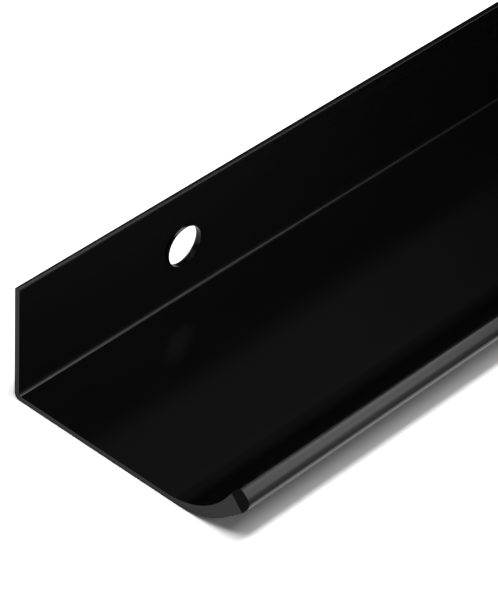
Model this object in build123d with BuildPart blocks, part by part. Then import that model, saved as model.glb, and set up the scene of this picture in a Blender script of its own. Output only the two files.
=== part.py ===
from build123d import *
import os

# Edge pull cut from one bar of extruded aluminium, in millimetres.
# X runs along the bar, the lip points to -Y, the screwed flange stands up at +Y, and the floor is Z = 0.

# Overall size
bar_length = 185.0
bar_depth = 38.0
flange_height = 17.2
wall = 0.78

# Rounded edges of the flange and the heel
heel_radius = 0.9
seat_corner_radius = 0.4
flange_edge_radius = 0.36

# Lip: each side leans up from the plate at its own angle, and a large round joins it to the plate
outer_lean = 41.0
outer_arc_radius = 12.5
inner_lean = 58.0
inner_arc_radius = 11.5

# Tip: an upright front on the end of the outer side, then a slightly crowned face up to the inner side's end
front_foot_height = 5.47341
front_rise = 0.7766
inner_end_height = 7.94987
inner_end_setback = 1.66521
front_foot_radius = 1.1
front_top_radius = 0.6
tip_crown = 0.05
tip_crown_radius = 8.0
tip_inner_radius = 0.5

# The lip's two end corners are cut off at 45 degrees, measured back from the tip's apex
corner_cut = 0.96
corner_cut_lean = 40.5

# Screw holes, countersunk from the flange's outer face
hole_spacing = 128.0
hole_height = 8.75
hole_radius = 2.86
hole_land = 0.46
sink_angle = 90.0

# Low tapered collar that the pressing raises round each hole on the flange's inner face
collar_height = 0.35
collar_foot_width = 0.18
collar_top_width = 0.08

# Section plane: its first axis runs from the flange's outer face towards the lip
section_plane = Plane(origin=(0, bar_depth / 2, 0), x_dir=(0, -1, 0), z_dir=(-1, 0, 0))

with BuildPart() as collar:
    foot_radius = hole_radius + collar_foot_width
    top_radius = hole_radius + collar_top_width
    Cone(foot_radius, top_radius, collar_height, align=(Align.CENTER, Align.CENTER, Align.MIN))

with BuildPart() as handle_profile:
    # Section of the bar
    with BuildSketch(section_plane) as section:
        with BuildLine():
            heel = Vector(0, 0)
            seat_corner = Vector(wall, wall)
            flange_outer_edge = Vector(0, flange_height)
            flange_inner_edge = Vector(wall, flange_height)
            front_foot = Vector(bar_depth, front_foot_height)
            front_top = front_foot + Vector(0, front_rise)
            inner_end = Vector(bar_depth - inner_end_setback, inner_end_height)
            across_tip = front_top - inner_end
            tip_apex = inner_end + across_tip / 2 + tip_crown * across_tip.normalized().rotate(Axis.Z, 90)
            outer_side = PolarLine(front_foot, front_foot_height, 180 + outer_lean, length_mode=LengthMode.VERTICAL)
            inner_side = PolarLine(inner_end, inner_end_height - wall, 180 + inner_lean, length_mode=LengthMode.VERTICAL)
            Polyline(front_foot, front_top, tip_apex, inner_end)
            Polyline(inner_side @ 1, seat_corner, flange_inner_edge, flange_outer_edge, heel, outer_side @ 1)
        make_face()
        edge_radius = min(flange_edge_radius, 0.49 * wall)
        rounded_corners = [
            (heel, heel_radius),
            (seat_corner, seat_corner_radius),
            (flange_outer_edge, edge_radius),
            (flange_inner_edge, edge_radius),
            (outer_side @ 1, outer_arc_radius),
            (inner_side @ 1, inner_arc_radius),
            (tip_apex, tip_crown_radius),
            (front_top, front_top_radius),
            (front_foot, front_foot_radius),
            (inner_end, tip_inner_radius),
        ]
        for corner_point, corner_radius in rounded_corners:
            fillet(section.vertices().sort_by_distance(corner_point)[0], corner_radius)
    extrude(amount=bar_length / 2, both=True)

    # Cut-off corners of the lip, drawn from the tip's apex at each end of the bar
    apex = section_plane.from_local_coords(tip_apex)
    lip_direction = Vector(0, -1, 0).rotate(Axis.X, -corner_cut_lean)
    for end in (-1, 1):
        corner = Vector(end * bar_length / 2, apex.Y, apex.Z)
        with BuildSketch(Plane(corner, x_dir=(end, 0, 0), z_dir=Vector(end, 0, 0).cross(lip_direction))):
            with BuildLine():
                Polyline((-2 * corner_cut, corner_cut), (corner_cut, corner_cut), (corner_cut, -2 * corner_cut), close=True)
            make_face()
        extrude(amount=2 * corner_cut, both=True, mode=Mode.SUBTRACT)

    # Collars on the flange's inner face, then the holes through flange and collars
    with Locations(Plane(origin=(0, bar_depth / 2 - wall, hole_height), x_dir=(1, 0, 0), z_dir=(0, -1, 0))):
        with GridLocations(hole_spacing, 1, 2, 1):
            add(collar.part)
    with Locations(Plane(origin=(0, bar_depth / 2, hole_height), x_dir=(-1, 0, 0), z_dir=(0, 1, 0))):
        with GridLocations(hole_spacing, 1, 2, 1):
            sink_radius = hole_radius + wall - hole_land
            hole_depth = 2 * (wall + collar_height)
            CounterSinkHole(hole_radius, sink_radius, depth=hole_depth, counter_sink_angle=sink_angle)

handle_profile.part.label = "handle_profile"
os.makedirs("parts", exist_ok=True)
export_step(handle_profile.part, "parts/handle_profile.step")
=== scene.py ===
import math

import bpy
from mathutils import Matrix, Vector


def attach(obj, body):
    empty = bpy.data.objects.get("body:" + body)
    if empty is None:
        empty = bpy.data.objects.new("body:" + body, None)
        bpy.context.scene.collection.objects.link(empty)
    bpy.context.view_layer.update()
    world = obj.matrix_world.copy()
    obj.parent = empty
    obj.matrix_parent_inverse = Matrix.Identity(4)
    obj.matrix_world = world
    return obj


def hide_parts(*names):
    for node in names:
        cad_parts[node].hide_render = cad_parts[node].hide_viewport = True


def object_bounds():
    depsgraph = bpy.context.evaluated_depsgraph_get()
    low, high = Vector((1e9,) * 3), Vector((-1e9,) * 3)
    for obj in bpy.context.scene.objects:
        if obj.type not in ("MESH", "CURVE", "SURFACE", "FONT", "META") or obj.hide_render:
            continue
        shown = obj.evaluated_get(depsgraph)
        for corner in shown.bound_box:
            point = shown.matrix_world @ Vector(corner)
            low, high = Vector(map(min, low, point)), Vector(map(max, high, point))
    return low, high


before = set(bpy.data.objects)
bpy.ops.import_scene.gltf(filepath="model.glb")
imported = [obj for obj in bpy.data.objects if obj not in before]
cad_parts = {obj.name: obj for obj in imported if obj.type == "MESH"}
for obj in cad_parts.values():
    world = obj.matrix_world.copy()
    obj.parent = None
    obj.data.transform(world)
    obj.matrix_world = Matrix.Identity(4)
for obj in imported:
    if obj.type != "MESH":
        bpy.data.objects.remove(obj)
cad_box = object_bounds()

MM = 0.001

# Sizes of the bar, in millimetres: X runs along it, the lip points to -Y and the flange stands at +Y.
# Its length, depth and height are those of the solid in the frame.
BAR_LENGTH, BAR_DEPTH, FLANGE_HEIGHT = ((high - low) / MM for low, high in zip(*cad_box))
WALL = 0.78

# Rounded edges
HEEL_RADIUS = 0.9
SEAT_CORNER_RADIUS = 0.4
FLANGE_EDGE_RADIUS = 0.36
SAWN_EDGE_BREAK = 0.02

# The lip's two sides: how far the arc is set back from the lip's front, its radius, and its sweep in degrees.
# The inner side then runs straight on to the tip.
OUTER_ARC = {"setback": 10.97, "radius": 12.5, "sweep": 41.0}
INNER_ARC = {"setback": 12.52, "radius": 11.5, "sweep": 58.0}
INNER_TIP_RUN = 2.08

# The tip: an upright front, a soft shoulder above it, then a slightly crowned face up to the inner side
FRONT_HEIGHT = 6.25
FRONT_FOOT_RADIUS = 1.0
FRONT_TOP_RADIUS = 0.5
SHOULDER_RUN = 0.6
SHOULDER_TURN = 8.4
SHOULDER_RADIUS = 4.0
TIP_CROWN = 0.02
TIP_CROWN_RADIUS = 20.0
TIP_INNER_RADIUS = 0.4

# Corners cut off the lip's ends at 45 degrees: their size along the lip, which leans up by so many degrees
CORNER_CUT = 0.96
CORNER_CUT_LEAN = 40.5

# Screw holes, and the collar that the pressing raises round each one on the flange's inner face
HOLE_SPACING = 128.0
HOLE_HEIGHT = 8.75
HOLE_RADIUS = 2.86
HOLE_LAND = 0.46
COLLAR_HEIGHT = 0.35
COLLAR_WIDTH = 0.18

# How finely the mesh is made
HOLE_SIDES = 96
COLLAR_STEPS = 8
EDGE_BREAK_STEPS = 3
CUTTER_OVERRUN = 0.5
SMOOTH_WITHIN_DEG = 35.0
MERGE_WITHIN_M = 1e-7

# Cut faces are told by the share of the normal that points along the bar, or along a hole's axis, and by how
# close to the bore's radius they lie
CUT_FACE_MIN_X = 0.6
HOLE_WALL_MAX_Y = 0.9
BORE_SLACK = 0.02

# The two finishes: scales of the tool's lines along X, Y and Z per metre, range of roughness, and shine
DRAWN_FINISH = {"line_scale": (30.0, 2600.0, 2600.0), "roughness": (0.18, 0.23), "shine": 0.5}
CUT_FINISH = {"line_scale": (2600.0, 3000.0, 90.0), "roughness": (0.28, 0.36), "shine": 0.125}

# What both finishes share: linear tones, noise scales per metre, and bump depths in metres
FILM_DARK = (0.0005, 0.0005, 0.0005)
FILM_LIGHT = (0.0010, 0.0010, 0.0010)
FILM_IOR = 1.45
LINE_NOISE = {"scale": 1.0, "detail": 3.0}
LINE_BUMP = {"strength": 0.25, "depth": 0.000004}
DRIFT_NOISE = {"scale": 45.0, "detail": 4.0}
GRAIN_NOISE = {"scale": 5200.0, "detail": 2.0}
GRAIN_BUMP = {"strength": 0.3, "depth": 0.000003}
NOISE_LOW = 0.3
NOISE_HIGH = 0.7

# The table's true tone, the tone it is seen in, and its size in metres
TABLE_TONE = (0.85, 0.85, 0.85)
TABLE_SEEN_TONE = (1.9, 1.9, 1.9)
TABLE_SIZE = 1.6

# Softboxes, placed by the angles at which the bar sees them, in degrees: rise goes round the bar from the
# lip's side over the top, and swing leans towards the far end. Spans are angles too, distances are in metres.
# The four at the low front act as one tall light that fades towards its foot, and the tip mirrors them.
SOFTBOXES = {
    "low_front_1": dict(rise=41, swing=34.5, rise_span=7, swing_span=9.5, distance=1.2, radiance=4.6),
    "low_front_2": dict(rise=33, swing=34.5, rise_span=10, swing_span=9.5, distance=1.2, radiance=3.4),
    "low_front_3": dict(rise=23, swing=34.5, rise_span=10, swing_span=9.5, distance=1.2, radiance=1.5),
    "low_front_4": dict(rise=12, swing=34.5, rise_span=12, swing_span=9.5, distance=1.2, radiance=0.2),
    "near_low": dict(rise=22, swing=-53, rise_span=14, swing_span=14, distance=1.2, radiance=2.4),
    "far_back": dict(rise=130, swing=33, rise_span=30, swing_span=16, distance=1.2, radiance=0.1),
    "back": dict(rise=140, swing=-15, rise_span=30, swing_span=50, distance=1.2, radiance=1.8),
    "high_front": dict(rise=65, swing=4, rise_span=18, swing_span=50, distance=1.0, radiance=1.5),
    "top": dict(rise=82, swing=3, rise_span=12, swing_span=60, distance=0.9, radiance=8.5),
    "top_back": dict(rise=102, swing=-22, rise_span=16, swing_span=30, distance=1.0, radiance=1.5),
}
SOFTBOX_AIM = (-0.05, 0.0, 0.0)

# The room is dim as a light and in reflections, and white behind the table's edge
ROOM_STRENGTH = 0.01
ROOM_SEEN_STRENGTH = 1.0

# The photograph's camera: its place in millimetres and its angles in degrees
PHOTO_LONG_SIDE_PX = 600
CAMERA_FOCAL_PX = 3485.4
CAMERA_PLACE = (-320.41, -215.10, 273.07)
CAMERA_AZIMUTH = 49.125
CAMERA_ELEVATION = 38.170
CAMERA_ROLL = 3.260
CAMERA_CLIP_START = 0.01
SENSOR_MM = 36.0


# The section's points: depth from the flange's outer face towards the lip, and height above the floor
def lip_corner(arc, level):
    """The corner that one side of the lip turns round, and the length of each leg up to the arc's ends."""
    reach = arc["radius"] * math.tan(math.radians(arc["sweep"]) / 2)
    return (BAR_DEPTH - arc["setback"] + reach, level), reach


def step_from(point, rise, length):
    """The point at a length from another, along a way towards the lip that rises by an angle."""
    return point[0] + length * math.cos(rise), point[1] + length * math.sin(rise)


outer_corner, _ = lip_corner(OUTER_ARC, 0.0)
outer_rise = math.radians(OUTER_ARC["sweep"])
front_foot = (BAR_DEPTH, (BAR_DEPTH - outer_corner[0]) * math.tan(outer_rise))

inner_corner, inner_reach = lip_corner(INNER_ARC, WALL)
inner_rise = math.radians(INNER_ARC["sweep"])
inner_tip = step_from(inner_corner, inner_rise, inner_reach + INNER_TIP_RUN)

# The tip's face runs from the front's height to the inner side, and its normal rises by face_rise
face_foot = (BAR_DEPTH, FRONT_HEIGHT)
face_rise = math.atan2(face_foot[0] - inner_tip[0], inner_tip[1] - face_foot[1])
face_middle = ((face_foot[0] + inner_tip[0]) / 2, (face_foot[1] + inner_tip[1]) / 2)
tip_apex = step_from(face_middle, face_rise, TIP_CROWN)

# The shoulder turns the face's foot down, so that it meets the upright front lower
shoulder = step_from(face_foot, face_rise + math.pi / 2, SHOULDER_RUN)
shoulder_rise = face_rise - math.radians(SHOULDER_TURN)
front_top = (BAR_DEPTH, shoulder[1] - (BAR_DEPTH - shoulder[0]) / math.tan(shoulder_rise))

# Each corner of the section: depth, height, the radius it is rounded to and the steps of that round
SECTION = [
    (0.0, 0.0, HEEL_RADIUS, 12),
    (*outer_corner, OUTER_ARC["radius"], 40),
    (*front_foot, FRONT_FOOT_RADIUS, 16),
    (*front_top, FRONT_TOP_RADIUS, 10),
    (*shoulder, SHOULDER_RADIUS, 10),
    (*tip_apex, TIP_CROWN_RADIUS, 12),
    (*inner_tip, TIP_INNER_RADIUS, 12),
    (*inner_corner, INNER_ARC["radius"], 40),
    (WALL, WALL, SEAT_CORNER_RADIUS, 10),
    (WALL, FLANGE_HEIGHT, FLANGE_EDGE_RADIUS, 10),
    (0.0, FLANGE_HEIGHT, FLANGE_EDGE_RADIUS, 10),
]


# The bar
def deselect_everything():
    if bpy.context.object and bpy.context.object.mode == "EDIT":
        bpy.ops.object.mode_set(mode="OBJECT")
    bpy.ops.object.select_all(action="DESELECT")


def section_point(depth, height):
    """A point of the section at the bar's low-X end, in metres."""
    return Vector((-BAR_LENGTH / 2, BAR_DEPTH / 2 - depth, height)) * MM


def draw_section(corners):
    """Draws the section as a filled outline: a vertex is extruded straight and spun round each corner."""
    points = [section_point(depth, height) for depth, height, _, _ in corners]
    start = (points[0] + points[1]) / 2
    bpy.ops.mesh.primitive_plane_add(size=MM, location=start)
    bpy.ops.object.mode_set(mode="EDIT")
    bpy.ops.mesh.merge(type="CENTER")
    pen = start
    for place in range(1, len(points) + 1):
        before, corner, after = (points[(place + step) % len(points)] for step in (-1, 0, 1))
        _, _, radius, steps = corners[place % len(points)]
        way_in, way_out = (corner - before).normalized(), (after - corner).normalized()
        turn = way_in.angle(way_out)
        tangent = radius * MM * math.tan(turn / 2)
        touch = corner - way_in * tangent
        bpy.ops.mesh.extrude_region_move(TRANSFORM_OT_translate={"value": touch - pen})
        axis = way_in.cross(way_out).normalized()
        centre = touch + axis.cross(way_in) * radius * MM
        bpy.ops.mesh.spin(steps=steps, angle=-turn, center=centre, axis=axis)
        pen = corner + way_out * tangent
    bpy.ops.mesh.extrude_region_move(TRANSFORM_OT_translate={"value": start - pen})
    bpy.ops.mesh.select_all(action="SELECT")
    bpy.ops.mesh.remove_doubles(threshold=MERGE_WITHIN_M)
    bpy.ops.mesh.edge_face_add()


def cut_lip_corner(end):
    """Cuts the lip's corner off at 45 degrees at one end of the bar."""
    lean = math.radians(CORNER_CUT_LEAN)
    lip_way = Vector((0, -math.cos(lean), math.sin(lean)))
    cut_way = (lip_way + Vector((end, 0, 0))).normalized()
    apex = section_point(*tip_apex)
    on_cut = Vector((end * BAR_LENGTH / 2 * MM, apex.y, apex.z)) - lip_way * CORNER_CUT * MM
    bpy.ops.mesh.select_all(action="SELECT")
    bpy.ops.mesh.bisect(plane_co=on_cut, plane_no=cut_way, use_fill=True, clear_outer=True)


def at_sawn_end(point):
    return abs(abs(point.x) - BAR_LENGTH / 2 * MM) < MERGE_WITHIN_M


def break_sawn_edges(bar):
    """Takes the sharpness off the edges round both sawn ends."""
    bpy.ops.mesh.select_all(action="DESELECT")
    bpy.ops.mesh.select_mode(type="EDGE")
    bpy.ops.object.mode_set(mode="OBJECT")
    for edge in bar.data.edges:
        ends = [bar.matrix_world @ bar.data.vertices[vertex].co for vertex in edge.vertices]
        edge.select = all(at_sawn_end(end) for end in ends)
    bpy.ops.object.mode_set(mode="EDIT")
    bpy.ops.mesh.bevel(
        offset=SAWN_EDGE_BREAK * MM, segments=EDGE_BREAK_STEPS, affect="EDGES", clamp_overlap=False
    )


def add_turned(place, rings):
    """A closed shape turned round a hole's axis, by rings of a depth behind the inner face and a radius."""
    inner_face = (BAR_DEPTH / 2 - WALL) * MM
    centre = Vector((place, inner_face, HOLE_HEIGHT * MM))
    depth, radius = rings[0]
    bpy.ops.mesh.primitive_circle_add(
        vertices=HOLE_SIDES,
        radius=radius * MM,
        fill_type="NGON",
        location=centre + Vector((0, depth * MM, 0)),
        rotation=(math.pi / 2, 0, 0),
    )
    turned = bpy.context.object
    bpy.ops.object.mode_set(mode="EDIT")
    for next_depth, next_radius in rings[1:]:
        bpy.ops.mesh.extrude_region_move(TRANSFORM_OT_translate={"value": (0, (next_depth - depth) * MM, 0)})
        grow = next_radius / radius
        ring_centre = centre + Vector((0, next_depth * MM, 0))
        bpy.ops.transform.resize(value=(grow, 1, grow), center_override=ring_centre)
        depth, radius = next_depth, next_radius
    bpy.ops.mesh.select_all(action="SELECT")
    bpy.ops.mesh.normals_make_consistent(inside=False)
    bpy.ops.object.mode_set(mode="OBJECT")
    return turned


def combine(bar, operation, other):
    """Adds another shape to the bar or takes it away, and removes that shape."""
    deselect_everything()
    bpy.context.view_layer.objects.active = bar
    bar.select_set(True)
    step = bar.modifiers.new(operation.lower(), "BOOLEAN")
    step.operation = operation
    step.solver = "EXACT"
    step.object = other
    bpy.ops.object.modifier_apply(modifier=step.name)
    bpy.data.objects.remove(other, do_unlink=True)


def pierce(bar, place):
    """One screw hole: the rounded collar raised on the inner face, then the bore and its 45 degree sink."""
    collar = [(WALL / 2, HOLE_RADIUS + COLLAR_WIDTH)]
    for step in range(COLLAR_STEPS + 1):
        turn = math.pi / 2 * step / COLLAR_STEPS
        collar.append((-COLLAR_HEIGHT * math.sin(turn), HOLE_RADIUS + COLLAR_WIDTH * math.cos(turn)))
    combine(bar, "UNION", add_turned(place, collar))
    cutter = add_turned(place, [
        (-COLLAR_HEIGHT - CUTTER_OVERRUN, HOLE_RADIUS),
        (HOLE_LAND, HOLE_RADIUS),
        (WALL + CUTTER_OVERRUN, HOLE_RADIUS + WALL + CUTTER_OVERRUN - HOLE_LAND),
    ])
    combine(bar, "DIFFERENCE", cutter)


def make_bar():
    deselect_everything()
    draw_section(SECTION)
    bar = bpy.context.object
    bar.name = bar.data.name = "edge_pull_bar"
    bpy.ops.mesh.extrude_region_move(TRANSFORM_OT_translate={"value": (BAR_LENGTH * MM, 0, 0)})
    bpy.ops.mesh.select_all(action="SELECT")
    bpy.ops.mesh.normals_make_consistent(inside=False)
    for end in (-1, 1):
        cut_lip_corner(end)
    break_sawn_edges(bar)
    bpy.ops.mesh.select_all(action="SELECT")
    bpy.ops.mesh.normals_make_consistent(inside=False)
    bpy.ops.object.mode_set(mode="OBJECT")
    for side in (-1, 1):
        pierce(bar, side * HOLE_SPACING / 2 * MM)
    bpy.ops.object.transform_apply(location=True, rotation=True, scale=True)
    bpy.ops.object.shade_smooth_by_angle(angle=math.radians(SMOOTH_WITHIN_DEG))
    even = bar.modifiers.new("flat faces stay flat", "WEIGHTED_NORMAL")
    even.keep_sharp = True
    bpy.ops.object.modifier_apply(modifier=even.name)
    return bar


# Finishes
def new_material(name):
    material = bpy.data.materials.new(name)
    material.use_nodes = True
    nodes = material.node_tree.nodes
    nodes.clear()
    return material, nodes, material.node_tree.links


def add_noise(nodes, links, place, scale, detail):
    noise = nodes.new("ShaderNodeTexNoise")
    noise.inputs["Scale"].default_value = scale
    noise.inputs["Detail"].default_value = detail
    links.new(place, noise.inputs["Vector"])
    return noise.outputs["Fac"]


def add_bump(nodes, links, height, strength, depth):
    bump = nodes.new("ShaderNodeBump")
    bump.inputs["Strength"].default_value = strength
    bump.inputs["Distance"].default_value = depth
    links.new(height, bump.inputs["Height"])
    return bump


def black_anodising(name, line_scale, roughness, shine):
    """Satin black anodised aluminium, with a faint drift in tone, lines one way and a fine etched grain."""
    material, nodes, links = new_material(name)
    place = nodes.new("ShaderNodeTexCoord").outputs["Object"]
    stretch = nodes.new("ShaderNodeMapping")
    stretch.inputs["Scale"].default_value = line_scale
    links.new(place, stretch.inputs["Vector"])
    lines = add_noise(nodes, links, stretch.outputs["Vector"], **LINE_NOISE)
    drift = add_noise(nodes, links, place, **DRIFT_NOISE)
    grain = add_noise(nodes, links, place, **GRAIN_NOISE)

    tone = nodes.new("ShaderNodeValToRGB")
    darkest, lightest = tone.color_ramp.elements
    darkest.position = NOISE_LOW
    darkest.color = (*FILM_DARK, 1)
    lightest.position = NOISE_HIGH
    lightest.color = (*FILM_LIGHT, 1)
    links.new(drift, tone.inputs["Fac"])

    gloss = nodes.new("ShaderNodeMapRange")
    gloss.inputs["From Min"].default_value = NOISE_LOW
    gloss.inputs["From Max"].default_value = NOISE_HIGH
    gloss.inputs["To Min"].default_value, gloss.inputs["To Max"].default_value = roughness
    links.new(lines, gloss.inputs["Value"])

    drawn_lines = add_bump(nodes, links, lines, **LINE_BUMP)
    etched_grain = add_bump(nodes, links, grain, **GRAIN_BUMP)
    links.new(drawn_lines.outputs["Normal"], etched_grain.inputs["Normal"])

    film = nodes.new("ShaderNodeBsdfPrincipled")
    film.inputs["IOR"].default_value = FILM_IOR
    film.inputs["Specular IOR Level"].default_value = shine
    links.new(tone.outputs["Color"], film.inputs["Base Color"])
    links.new(gloss.outputs["Result"], film.inputs["Roughness"])
    links.new(etched_grain.outputs["Normal"], film.inputs["Normal"])
    out = nodes.new("ShaderNodeOutputMaterial")
    links.new(film.outputs["BSDF"], out.inputs["Surface"])
    return material


def is_cut(face):
    """True for the sawn ends, the cut-off corners and the walls of the holes."""
    if abs(face.normal.x) > CUT_FACE_MIN_X:
        return True
    across = abs(face.center.x) / MM - HOLE_SPACING / 2
    above = face.center.z / MM - HOLE_HEIGHT
    from_axis = math.hypot(across, above)
    in_wall = face.center.y / MM > BAR_DEPTH / 2 - WALL and from_axis < HOLE_RADIUS + WALL
    in_bore = face.center.y > 0 and from_axis < HOLE_RADIUS + BORE_SLACK
    return (in_wall or in_bore) and abs(face.normal.y) < HOLE_WALL_MAX_Y


def dress_bar(bar):
    bar.data.materials.append(black_anodising("black_anodised_drawn", **DRAWN_FINISH))
    bar.data.materials.append(black_anodising("black_anodised_sawn", **CUT_FINISH))
    for face in bar.data.polygons:
        face.material_index = 1 if is_cut(face) else 0


def white_table():
    """A plain white table top. It is seen white, with the part's shadow, and lights by its true tone."""
    material, nodes, links = new_material("white_table")
    ray = nodes.new("ShaderNodeLightPath")
    seen = ray.outputs["Is Camera Ray"]
    for way in ("Is Glossy Ray", "Is Transmission Ray"):
        either = nodes.new("ShaderNodeMath")
        either.operation = "MAXIMUM"
        links.new(seen, either.inputs[0])
        links.new(ray.outputs[way], either.inputs[1])
        seen = either.outputs["Value"]
    tone = nodes.new("ShaderNodeMix")
    tone.data_type = "RGBA"
    tone.inputs["A"].default_value = (*TABLE_TONE, 1)
    tone.inputs["B"].default_value = (*TABLE_SEEN_TONE, 1)
    links.new(seen, tone.inputs["Factor"])
    paper = nodes.new("ShaderNodeBsdfDiffuse")
    links.new(tone.outputs["Result"], paper.inputs["Color"])
    out = nodes.new("ShaderNodeOutputMaterial")
    links.new(paper.outputs["BSDF"], out.inputs["Surface"])
    return material


# The table, the lights, the room and the camera
def add_table():
    bpy.ops.mesh.primitive_plane_add(size=TABLE_SIZE, location=(0, 0, 0))
    table = bpy.context.object
    table.name = table.data.name = "table_top"
    table.data.materials.append(white_table())


def add_softbox(name, rise, swing, rise_span, swing_span, distance, radiance):
    """A softbox that faces the bar, as wide and as tall as its spans look from there."""
    rise, swing = math.radians(rise), math.radians(swing)
    back = Vector((math.sin(swing), -math.cos(swing) * math.cos(rise), math.cos(swing) * math.sin(rise)))
    upward = Vector((0, math.sin(rise), math.cos(rise)))
    sideways = upward.cross(back)
    width = 2 * distance * math.tan(math.radians(swing_span) / 2)
    height = 2 * distance * math.tan(math.radians(rise_span) * math.cos(swing) / 2)
    bpy.ops.object.light_add(type="AREA")
    box = bpy.context.object
    box.name = name + "_softbox"
    box.data.shape = "RECTANGLE"
    box.data.size = width
    box.data.size_y = height
    box.data.energy = radiance * math.pi * width * height
    turn = Matrix((sideways, upward, back)).transposed().to_4x4()
    box.matrix_world = Matrix.Translation(Vector(SOFTBOX_AIM) + back * distance) @ turn


def add_world():
    world = bpy.data.worlds.new("dim_studio")
    world.use_nodes = True
    nodes, links = world.node_tree.nodes, world.node_tree.links
    background = nodes["Background"]
    background.inputs["Color"].default_value = (1, 1, 1, 1)
    ray = nodes.new("ShaderNodeLightPath")
    strength = nodes.new("ShaderNodeMapRange")
    strength.inputs["To Min"].default_value = ROOM_STRENGTH
    strength.inputs["To Max"].default_value = ROOM_SEEN_STRENGTH
    links.new(ray.outputs["Is Camera Ray"], strength.inputs["Value"])
    links.new(strength.outputs["Result"], background.inputs["Strength"])
    bpy.context.scene.world = world


def add_camera():
    bpy.ops.object.camera_add()
    camera = bpy.context.object
    camera.name = "photo_camera"
    camera.data.sensor_width = SENSOR_MM
    camera.data.lens = CAMERA_FOCAL_PX / PHOTO_LONG_SIDE_PX * SENSOR_MM
    camera.data.clip_start = CAMERA_CLIP_START
    turn = Matrix.Rotation(math.radians(-CAMERA_AZIMUTH), 4, "Z")
    tilt = Matrix.Rotation(math.radians(90 - CAMERA_ELEVATION), 4, "X")
    roll = Matrix.Rotation(math.radians(CAMERA_ROLL), 4, "Z")
    camera.matrix_world = Matrix.Translation(Vector(CAMERA_PLACE) * MM) @ turn @ tilt @ roll
    bpy.context.scene.camera = camera


bar = make_bar()
dress_bar(bar)
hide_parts("handle_profile")
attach(bar, "root")

add_table()
for name, softbox in SOFTBOXES.items():
    add_softbox(name, **softbox)
add_world()
add_camera()
bpy.context.scene.view_settings.view_transform = "Standard"
